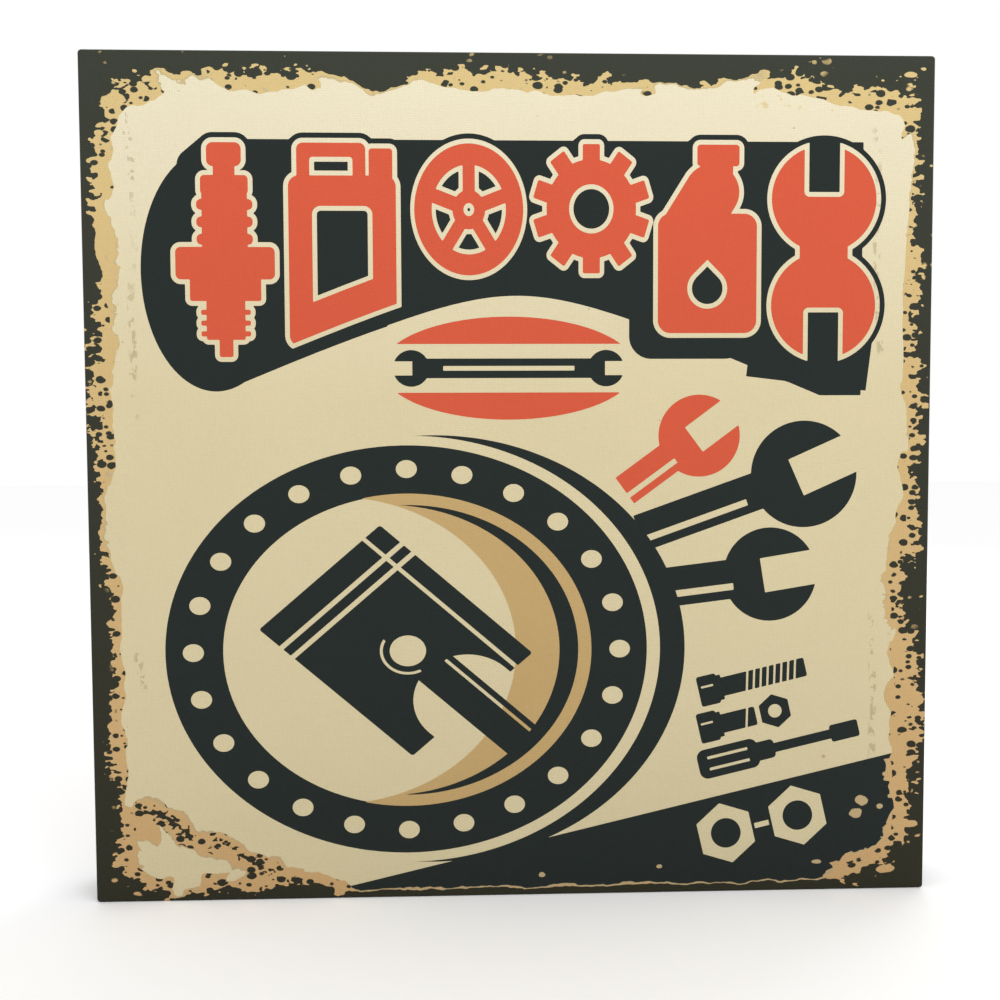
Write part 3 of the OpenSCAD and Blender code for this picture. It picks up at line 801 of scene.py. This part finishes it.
def primed():
    """The back of the canvas's flaps, where the print runs on a few millimetres."""
    p = Paint("canvas_primed")
    height = weave(p)
    edge = (HALF - abs(p.x)).low((HALF - abs(p.z - HALF)))
    ran_on = (edge + p.noise(5, seed=26) * 0.5).under(3.4, 0.25)
    cloth = p.mix(srgb(222, 214, 194), srgb(198, 188, 164), p.noise(20, seed=27).over(0, 1))
    colour = p.mix(cloth, BORDER_TOP, ran_on)
    # Painted shade in the weave's hollows, times the cloth's own uneven tone
    shade = (height * 0.28 + 0.80) * (p.noise(1.1, seed=28) * 0.05 + 1)
    return p.done(p.lighter(colour, shade), 0.85, height, 0.16, Specular_IOR_Level=0.25)


def wood(name, light, dark_ring, along, ply=False):
    """Wood with its grain along x or z."""
    p = Paint(name)
    long_x, long_z = (90, 3.2) if along == "x" else (3.2, 90)
    wave = p.noise(long_x * 2, 7, long_z * 2 if along == "z" else 7, seed=30)
    lines = p.noise(long_x, 2.4, long_z, seed=31, detail=3, rough=0.6) * 0.5 + 0.5
    fine = p.noise(long_x / 6, 0.7, long_z / 6, seed=32) * 0.5 + 0.5
    across = p.z if along == "x" else p.x
    rings = ((across * 0.9 + wave * 9 + p.y * 0.5).sin() * 0.5 + 0.5)**2.0
    colour = p.mix(light, dark_ring, (rings * 0.55 + lines * 0.35).low(1))
    gap, size = p.cells(95, seed=33)
    knot = (gap - size * 0.045).under(0, 0.02)
    colour = p.mix(colour, srgb(120, 78, 42), knot * 0.85)
    shade = fine * 0.16 + 0.90
    return p.done(p.lighter(colour, shade), 0.62, fine * 0.5 + rings * 0.5, 0.09,
                  Specular_IOR_Level=0.3)


def hardboard():
    """Pressed wood fibre, with blotches, pale fibres and a few scuffs."""
    p = Paint("hardboard")
    fibre = p.noise(2.2, 2.2, 0.9, seed=40, detail=4, rough=0.65)
    blot = p.noise(48, seed=41, detail=3, rough=0.6)
    colour = p.mix(srgb(140, 98, 62), srgb(92, 60, 38), (fibre * 0.55 + 0.45).low(1).high(0))
    strands = p.noise(9, 9, 0.8, seed=43, detail=2).over(0.62, 0.12)
    strands = strands.high(p.noise(0.8, 9, 9, seed=44, detail=2).over(0.66, 0.12))
    colour = p.mix(colour, srgb(172, 128, 84), strands * 0.4)
    gap, size = p.cells(4.5, seed=42, stretch=1.6)
    fleck = (gap - size * 0.18).under(0, 0.05)
    colour = p.mix(colour, srgb(66, 42, 26), fleck * 0.3)
    scuff = p.noise(60, 60, 1.4, seed=45, detail=3).over(0.72, 0.06) * blot.over(0.2, 0.3)
    colour = p.mix(colour, srgb(186, 150, 112), scuff * 0.35)
    height = fibre * 0.5 + 0.5 - fleck * 0.4
    return p.done(p.lighter(colour, blot * 0.09 + 1), scuff * 0.15 + 0.52, height, 0.08,
                  Specular_IOR_Level=0.4)


def plastic(name, colour, rough=0.4, grain=0.35, depth=0.02, **sockets):
    """Moulded plastic with a fine sparked surface."""
    p = Paint(name)
    fine = p.noise(grain, seed=50, detail=2)
    dust = p.noise(11, seed=51) * 0.04 + p.noise(1.4, seed=52) * 0.03 + 1
    worn = p.noise(4.5, seed=53, detail=3) * 0.07 + rough
    return p.done(p.lighter(colour, dust), worn, fine * 0.5 + 0.5, depth, **sockets)


def metal(name, colour, rough=0.32, brushed=(1, 1, 1), stain=srgb(150, 140, 118)):
    """Plated steel with faint brushing and a little tarnish."""
    p = Paint(name)
    lines = p.noise(*(0.16 * b for b in brushed), seed=60, detail=3)
    tarnish = p.noise(2.6, seed=61, detail=4).over(0.55, 0.4)
    tone = p.lighter(p.mix(colour, stain, tarnish * 0.35), lines * 0.05 + 1)
    worn = tarnish * 0.14 + lines * 0.05 + rough
    return p.done(tone, worn, lines * 0.5 + 0.5, 0.012, Metallic=1.0)


def rubber():
    p = Paint("bumper_rubber")
    dust = p.noise(1.1, seed=70, detail=4)
    colour = p.mix(srgb(70, 70, 72), srgb(122, 120, 116), dust.over(0.35, 0.5) * 0.45)
    return p.done(colour, 0.7, dust * 0.5 + 0.5, 0.05, Specular_IOR_Level=0.35)


def cell_wrap(name, node, plus_up=True):
    """The printed film on a battery cell, dark with a copper end, and its steel ends."""
    p = Paint(name)
    low, high = (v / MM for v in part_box(node))
    from_plus = high.z - p.z if plus_up else p.z - low.z
    copper = from_plus.under(15, 0.1)
    band = abs(from_plus - 15.5).under(0.5, 0.1)
    colour = p.mix(srgb(44, 46, 50), srgb(178, 104, 62), copper)
    colour = p.mix(colour, srgb(205, 203, 196), band)
    steel = (abs(p.z - (low.z + high.z) / 2) - (high.z - low.z) / 2).over(-1.2, 0.05)
    colour = p.mix(colour, srgb(196, 194, 188), steel)
    scuff = p.noise(1.4, 1.4, 7, seed=82, detail=3).over(0.75, 0.08)
    colour = p.mix(colour, srgb(150, 148, 144), scuff * 0.3)
    return p.done(p.lighter(colour, p.noise(3, seed=80) * 0.05 + 1), scuff * 0.2 + 0.26,
                  p.noise(1.2, seed=81) * 0.5 + 0.5, 0.01, Metallic=0.6)


WHITE, STEEL, NICKEL = srgb(236, 236, 232), srgb(176, 178, 180), srgb(196, 190, 178)
PINE_LIGHT, PINE_DARK = srgb(226, 190, 138), srgb(196, 148, 94)
FINISH = {
    "printed_canvas": lambda: printed("cream"),
    "pine": lambda: wood("pine_x", PINE_LIGHT, PINE_DARK, "x"),
    "plywood": lambda: wood("plywood", srgb(212, 176, 126), srgb(184, 144, 96), "z"),
    "hardboard": hardboard,
    "opal_plastic": lambda: plastic("opal_plastic", WHITE, 0.35, 0.8),
    "white_film": lambda: plastic("white_film", WHITE, 0.5, 0.6),
    "zinc_steel": lambda: metal("zinc_steel", STEEL),
    "nickel_steel": lambda: metal("nickel_steel", NICKEL, 0.22),
    "tape_white": lambda: plastic("tape_white", srgb(232, 232, 224), 0.35, 0.5),
    "led_body": lambda: plastic("led_body", srgb(238, 226, 160), 0.25, 0.5),
    "resistor_black": lambda: plastic("resistor_black", srgb(44, 44, 46), 0.4, 0.3),
    "wire_red": lambda: plastic("wire_red", srgb(178, 30, 26), 0.35, 0.6),
    "wire_black": lambda: plastic("wire_black", srgb(34, 34, 36), 0.35, 0.6),
    "black_plastic": lambda: plastic("black_plastic", srgb(42, 42, 44), 0.45, 0.32, 0.03),
    "switch_black": lambda: plastic("switch_black", srgb(32, 32, 34), 0.35, 0.5),
    "slider_white": lambda: plastic("slider_white", srgb(224, 222, 214), 0.35, 0.5),
    "bumper_rubber": rubber,
    "cell_wrap": lambda: cell_wrap("cell_wrap", "battery_1"),
}
finishes = {}


def finish(slot):
    if slot not in finishes:
        finishes[slot] = FINISH[slot]()
    return finishes[slot]


# ---------------------------------------------------------------- pieces
def piece(name, mesh, body, slot, replaced):
    thing = bpy.data.objects.new(name, mesh)
    bpy.context.scene.collection.objects.link(thing)
    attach(thing, body)
    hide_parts(*replaced)
    return thing


FLAP_W, ROLL_STEPS, FOLD_THICK = 15.0, 5, 0.5
# The cut edge of the flaps wobbles over this length and depth
CUT_WAVE, CUT_DEPTH = 14, 0.9


def fold(shell, corner):
    """The folded end of the top or bottom flap, which lies over the side flap's end, and the
    fold's edge on the side of the frame."""
    sx, sz = ((-1, -1), (1, -1), (1, 1), (-1, 1))[corner]
    profile = ((-0.30, -0.1), (-0.12, 0.38), (0.1, 0.52), (1.2, 0.5), (7, 0.36), (14, 0.16),
               (22, -0.06))
    grids = []
    across = [(1.4 + t * (FLAP_W - 1.3), 0.0) for t in np.linspace(0, 1, 6)]
    across = [(1.0, -0.45), *across, (FLAP_W + 0.15, -0.75)]
    grids.append((len(INKS), [[(sx * (HALF - b - s), BACK_Y + min(h, h + drop),
                                HALF + sz * (HALF - b)) for b, drop in across]
                              for s, h in profile]))
    depths = np.linspace(FRONT_Y + 2, BACK_Y - 1, 5)
    grids.append((0, [[(sx * (HALF - CORNER_R - s), y, HALF + sz * (HALF + 0.75 * h)) for y in depths]
                      for s, h in profile]))
    for material, rows in grids:
        verts = [[shell.verts.new([v * MM for v in at]) for at in row] for row in rows]
        for near, far in zip(verts, verts[1:]):
            for k in range(len(near) - 1):
                face = shell.faces.new((near[k], near[k + 1], far[k + 1], far[k]))
                face.smooth = True
                face.material_index = material


def canvas():
    """The canvas: the printed front, round the edges, down the sides and in over the back."""
    at, faces, inks = print_mesh()
    shell = bmesh.new()
    front = [shell.verts.new((q.real * MM, FRONT_Y * MM, q.imag * MM)) for q in at]
    for (a, b, c), ink in zip(faces.tolist(), inks.tolist()):
        shell.faces.new((front[a], front[b], front[c])).material_index = ink
    bmesh.ops.recalc_face_normals(shell, faces=shell.faces[:])
    if shell.faces[0].normal.y > 0:
        bmesh.ops.reverse_faces(shell, faces=shell.faces[:])
    after = {}
    for edge in shell.edges:
        if len(edge.link_loops) == 1:
            loop = edge.link_loops[0]
            after[loop.vert] = loop.link_loop_next.vert
    first = next(iter(after))
    rim = [first]
    while after[rim[-1]] != first:
        rim.append(after[rim[-1]])
    flat = np.array([complex(v.co.x, v.co.z) / MM - HALF * 1j for v in rim])
    core = HALF - CORNER_R
    inner = np.clip(flat.real, -core, core) + 1j * np.clip(flat.imag, -core, core)
    way = (flat - inner) / abs(flat - inner)
    waves = [Vector((q.real / CUT_WAVE, q.imag / CUT_WAVE, 0)) for q in flat]
    cut = np.array([mesh_noise.noise(wave) for wave in waves])
    inset = HALF - FLAP_W + CUT_DEPTH * cut
    flap_end = np.clip(flat.real, -inset, inset) + 1j * np.clip(flat.imag, -inset, inset)
    rings = []
    for angle in np.linspace(0, math.pi / 2, ROLL_STEPS + 1)[1:]:
        rings.append((flat + way * ROLL_R * math.sin(angle),
                      FRONT_Y + ROLL_R * (1 - math.cos(angle))))
    outside = rings[-1][0]
    for y in np.linspace(FRONT_Y + ROLL_R, BACK_Y - ROLL_R, 8)[1:]:
        rings.append((outside, y))
    for angle in np.linspace(0, math.pi / 2, ROLL_STEPS + 1)[1:]:
        rings.append((flat + way * ROLL_R * math.cos(angle),
                      BACK_Y - ROLL_R * (1 - math.sin(angle))))
    steps = np.linspace(0, 1, 7)[1:]
    for t in steps:
        rings.append((flat * (1 - t) + flap_end * t, BACK_Y + 0.12 * math.sin(math.pi * t)))
    rings.append((flap_end, BACK_Y - FOLD_THICK))
    last = rim
    roll_end = 2 * ROLL_STEPS + 7
    for k, (ring, y) in enumerate(rings):
        verts = [shell.verts.new((q.real * MM, y * MM, (q.imag + HALF) * MM)) for q in ring]
        for i in range(len(rim)):
            j = (i + 1) % len(rim)
            face = shell.faces.new((last[i], verts[i], verts[j], last[j]))
            face.smooth = True
            face.material_index = len(INKS) if k >= roll_end else 0
        last = verts
    for corner in range(4):
        fold(shell, corner)
    bmesh.ops.remove_doubles(shell, verts=shell.verts[:], dist=1e-6)
    loose = [v for v in shell.verts if not v.link_faces]
    bmesh.ops.delete(shell, geom=loose, context="VERTS")
    mesh = bpy.data.meshes.new("canvas")
    bmesh.ops.recalc_face_normals(shell, faces=shell.faces[:])
    shell.to_mesh(mesh)
    shell.free()
    for ink in INKS:
        mesh.materials.append(finish("printed_canvas") if ink == "cream" else printed(ink))
    mesh.materials.append(primed())
    cloth = piece("printed_canvas", mesh, "sign", "printed_canvas", ["canvas_print"])
    return cloth


# How far the edges of the parts that can be seen are rounded
SOFT_EDGES = {"stretcher_bottom": 0.6, "stretcher_left": 0.6, "stretcher_top": 0.6,
              "stretcher_right": 0.6, "back_panel": 0.4, "battery_box": 0.4, "battery_door": 0.4,
              "switch_slider": 0.3, "hanger_strap_left": 0.3, "hanger_strap_right": 0.3,
              "bumper_left": 0.7, "bumper_right": 0.7}


SHARP, FLAT = math.radians(35), math.radians(0.5)
CLOTH = 0.55


def round_corner(shell):
    """Takes the tips off a frame bar, so that they stay inside the canvas's round corners."""
    core = (HALF - CORNER_R) * MM
    for middle, across in ((0, Vector((1, 0, 0))), (HALF * MM, Vector((0, 0, 1)))):
        for side in (-1, 1):
            everything = shell.verts[:] + shell.edges[:] + shell.faces[:]
            bmesh.ops.bisect_plane(shell, geom=everything, dist=1e-7, plane_no=across,
                                   plane_co=across * (middle + side * core))
    for vert in shell.verts:
        q = complex(vert.co.x, vert.co.z - HALF * MM)
        inner = complex(max(-core, min(core, q.real)), max(-core, min(core, q.imag)))
        out, reach = q - inner, (CORNER_R - CLOTH) * MM
        if abs(out) > reach:
            q = inner + out * reach / abs(out)
            vert.co.x, vert.co.z = q.real, q.imag + HALF * MM


def soften(node, thing, material):
    """A copy of a CAD part with rounded edges, which is shown in its place."""
    width = SOFT_EDGES[node] * MM
    shell = bmesh.new()
    shell.from_mesh(thing.data)
    shell.transform(thing.matrix_world)
    bmesh.ops.remove_doubles(shell, verts=shell.verts[:], dist=1e-6)
    if node.startswith("stretcher"):
        round_corner(shell)
    bmesh.ops.dissolve_limit(shell, angle_limit=FLAT, verts=shell.verts[:], edges=shell.edges[:])
    for face in shell.faces:
        face.smooth = any(FLAT < edge.calc_face_angle(0) < SHARP for edge in face.edges)
    corners = [edge for edge in shell.edges
               if edge.calc_face_angle(0) > SHARP and edge.calc_length() > 2.5 * width]
    rounded = bmesh.ops.bevel(shell, geom=corners, offset=width, segments=2, profile=0.5,
                              affect="EDGES", clamp_overlap=True)
    for face in rounded["faces"]:
        face.smooth = True
    mesh = bpy.data.meshes.new("soft_" + node)
    shell.to_mesh(mesh)
    shell.free()
    mesh.materials.append(material)
    piece("soft_" + node, mesh, bodies[node], slots[node], [node])


bodies = {node: body for body, nodes in frame["record"]["behaviour"]["bodies"].items()
          for node in nodes}
slots = {part["node"]: part["material_slot"] for part in frame["record"]["subparts"]}
THREAD_R, THREADS = 0.16, 150


def loose_threads():
    """Threads that stick out of the cut edges of the canvas's flaps."""
    draw = random.Random(11)
    shell = bmesh.new()
    inner = HALF - FLAP_W
    for _ in range(THREADS):
        turn = 1j**draw.randrange(4)
        at, lean = draw.uniform(-inner + 4, inner - 4), draw.uniform(-0.9, 0.9)
        reach, lift = draw.uniform(1.0, 4.2), draw.uniform(0.1, 0.9)
        sections = []
        for t in (0.0, 0.35, 0.7, 1.0):
            q = complex(at + lean * reach * t * t, -inner - 0.8 + (reach + 0.8) * t) * turn
            y = BACK_Y + THREAD_R + lift * t * (1.3 - t) - 0.15
            side = turn * THREAD_R * (1.15 - 0.5 * t)
            sections.append([shell.verts.new((c.real * MM, (y + up) * MM, (c.imag + HALF) * MM))
                             for c, up in ((q - side, 0), (q, THREAD_R), (q + side, 0),
                                           (q, -THREAD_R))])
        for low, high in zip(sections, sections[1:]):
            for k in range(4):
                face = shell.faces.new((low[k], low[k - 3], high[k - 3], high[k]))
                face.smooth = True
        shell.faces.new(sections[0][::-1])
        shell.faces.new(sections[-1])
    bmesh.ops.recalc_face_normals(shell, faces=shell.faces[:])
    mesh = bpy.data.meshes.new("threads")
    shell.to_mesh(mesh)
    shell.free()
    mesh.materials.append(plastic("thread", srgb(224, 216, 194), 0.85, 0.4))
    piece("loose_threads", mesh, "sign", "printed_canvas", [])


pine_z = wood("pine_z", PINE_LIGHT, PINE_DARK, "z")
own_finish = {"stretcher_left": pine_z, "stretcher_right": pine_z,
              "battery_2": cell_wrap("cell_wrap_down", "battery_2", plus_up=False)}
for node, thing in frame["nodes"].items():
    material = own_finish.get(node) or finish(slots[node])
    for holder in thing.material_slots:
        holder.material = material
    if node in SOFT_EDGES:
        soften(node, thing, material)
canvas()
loose_threads()


# ---------------------------------------------------------------- floor, lights and camera
def floor():
    sheet = bmesh.new()
    bmesh.ops.create_grid(sheet, x_segments=8, y_segments=8, size=6)
    mesh = bpy.data.meshes.new("floor")
    sheet.to_mesh(mesh)
    sheet.free()
    mesh.materials.append(Paint("floor").done(srgb(252, 252, 252), 0.8, Specular_IOR_Level=0.0))
    thing = bpy.data.objects.new("floor", mesh)
    bpy.context.scene.collection.objects.link(thing)
    thing.location.z = cad_box[0].z


def lamp(name, place, target, size, watts):
    light = bpy.data.lights.new(name, "AREA")
    light.size, light.energy = size, watts
    thing = bpy.data.objects.new(name, light)
    thing.location = place
    thing.rotation_euler = (Vector(target) - Vector(place)).to_track_quat("-Z", "Y").to_euler()
    bpy.context.scene.collection.objects.link(thing)


def camera():
    lens = bpy.data.cameras.new("camera")
    lens.lens, lens.sensor_width = 37.8, 36
    thing = bpy.data.objects.new("camera", lens)
    yaw, pitch, roll = math.radians(1.867), math.radians(-2.795), math.radians(-0.243)
    ahead = Vector((math.sin(yaw) * math.cos(pitch), math.cos(yaw) * math.cos(pitch),
                    math.sin(pitch)))
    right = ahead.cross(Vector((0, 0, 1))).normalized()
    up = right.cross(ahead)
    right, up = (right * math.cos(roll) + up * math.sin(roll),
                 up * math.cos(roll) - right * math.sin(roll))
    turn = Matrix((right, up, -ahead)).transposed().to_4x4()
    thing.matrix_world = Matrix.Translation((-0.0227, -0.5149, 0.2157)) @ turn
    bpy.context.scene.collection.objects.link(thing)
    bpy.context.scene.camera = thing


floor()
camera()
lamp("key", (0.45, -0.75, 1.25), (0, 0, 0.3), 0.9, 4)
lamp("back", (0.9, 1.1, 1.0), (0, 0, 0.2), 1.0, 5)
world = bpy.data.worlds.new("studio")
bpy.context.scene.world = world
world.use_nodes = True
world.node_tree.nodes["Background"].inputs[0].default_value = (1, 1, 1, 1)
world.node_tree.nodes["Background"].inputs[1].default_value = 1.0
bpy.context.scene.view_settings.view_transform = "Standard"
